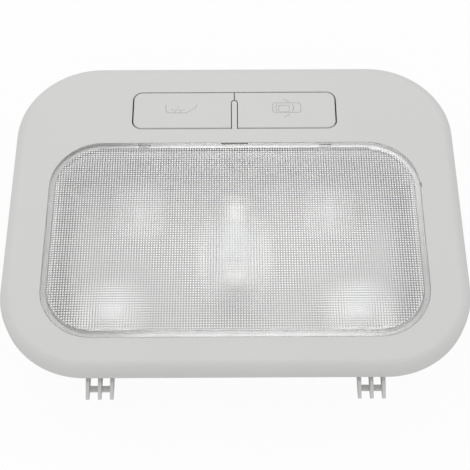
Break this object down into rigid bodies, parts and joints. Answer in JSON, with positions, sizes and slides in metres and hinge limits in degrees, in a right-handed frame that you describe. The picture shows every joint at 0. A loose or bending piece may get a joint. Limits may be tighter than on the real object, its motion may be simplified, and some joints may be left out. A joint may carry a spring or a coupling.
{
  "type": "car dome light",
  "caption": "Roof lamp for a car: rounded bezel, snap-in prismatic lens over a festoon bulb, rocker buttons on plunger switches, hook tabs, spring clips and a rear connector socket.",
  "frame": {"origin": "middle of the bezel's rim, on the plane that seats on the roof lining", "axes": "+Z out of the lens and front face, +Y from the lens towards the buttons (up in the picture), -Y towards the hook tabs, +X to the right of someone looking at the lens; the lamp is stored lying on its back, and in the car it is turned over so that +Z points down into the cabin"},
  "size_m": [0.1752, 0.1412, 0.0338],
  "materials": {
    "trim_plastic": "fine matt mould grain",
    "lens_polycarbonate": "clear, with a square prism field",
    "housing_plastic": "plain moulded",
    "foam": "closed-cell foam",
    "reflector_plastic": "glossy white",
    "bright_steel": "bright rolled",
    "bulb_glass": "clear drawn glass",
    "nickel_cap": "nickel plated",
    "tungsten": "drawn wire",
    "contact_brass": "stamped sheet",
    "switch_plastic": "moulded",
    "plunger_plastic": "moulded",
    "spring_steel": "tempered and phosphated",
    "zinc_steel": "zinc plated"
  },
  "bodies": {
    "lamp": {"bezel": "trim_plastic", "lens": "lens_polycarbonate", "rear_housing": "housing_plastic", "foam_pads": "foam", "reflector": "reflector_plastic", "heat_shield": "bright_steel", "bulb_glass": "bulb_glass", "bulb_cap_lower": "nickel_cap", "bulb_cap_upper": "nickel_cap", "bulb_filament": "tungsten", "bulb_contact_lower": "bright_steel", "bulb_contact_upper": "bright_steel", "left_switch_case": "switch_plastic", "right_switch_case": "switch_plastic", "left_plunger_spring": "spring_steel", "right_plunger_spring": "spring_steel", "busbar_supply": "contact_brass", "busbar_common": "contact_brass", "busbar_ground": "contact_brass", "busbar_door": "contact_brass", "housing_screws": "zinc_steel", "lamp_screws": "zinc_steel", "roof_clip_left": "spring_steel", "roof_clip_right": "spring_steel"},
    "left_rocker": {"left_button": "trim_plastic"},
    "right_rocker": {"right_button": "trim_plastic"},
    "left_switch_plunger": {"left_plunger": "plunger_plastic"},
    "right_switch_plunger": {"right_plunger": "plunger_plastic"}
  },
  "joints": [
    {"name": "left_button_press", "type": "hinge", "parent": "lamp", "child": "left_rocker", "pos_m": [-0.0207, 0.0518, 0.0036], "axis": [1, 0, 0], "range_deg": [0, 7], "stiffness_Nm_per_rad": 0.02, "springref_deg": -5.73},
    {"name": "right_button_press", "type": "hinge", "parent": "lamp", "child": "right_rocker", "pos_m": [0.0207, 0.0518, 0.0036], "axis": [1, 0, 0], "range_deg": [0, 7], "stiffness_Nm_per_rad": 0.02, "springref_deg": -5.73},
    {"name": "left_plunger_slide", "type": "slide", "parent": "lamp", "child": "left_switch_plunger", "axis": [0, 0, -1], "range_m": [0, 0.00125], "deforming": ["left_plunger_spring"]},
    {"name": "right_plunger_slide", "type": "slide", "parent": "lamp", "child": "right_switch_plunger", "axis": [0, 0, -1], "range_m": [0, 0.00125], "deforming": ["right_plunger_spring"]}
  ],
  "couplings": [
    {"joint": "left_plunger_slide", "follows": "left_button_press", "m_per_rad": 0.01},
    {"joint": "right_plunger_slide", "follows": "right_button_press", "m_per_rad": 0.01}
  ]
}
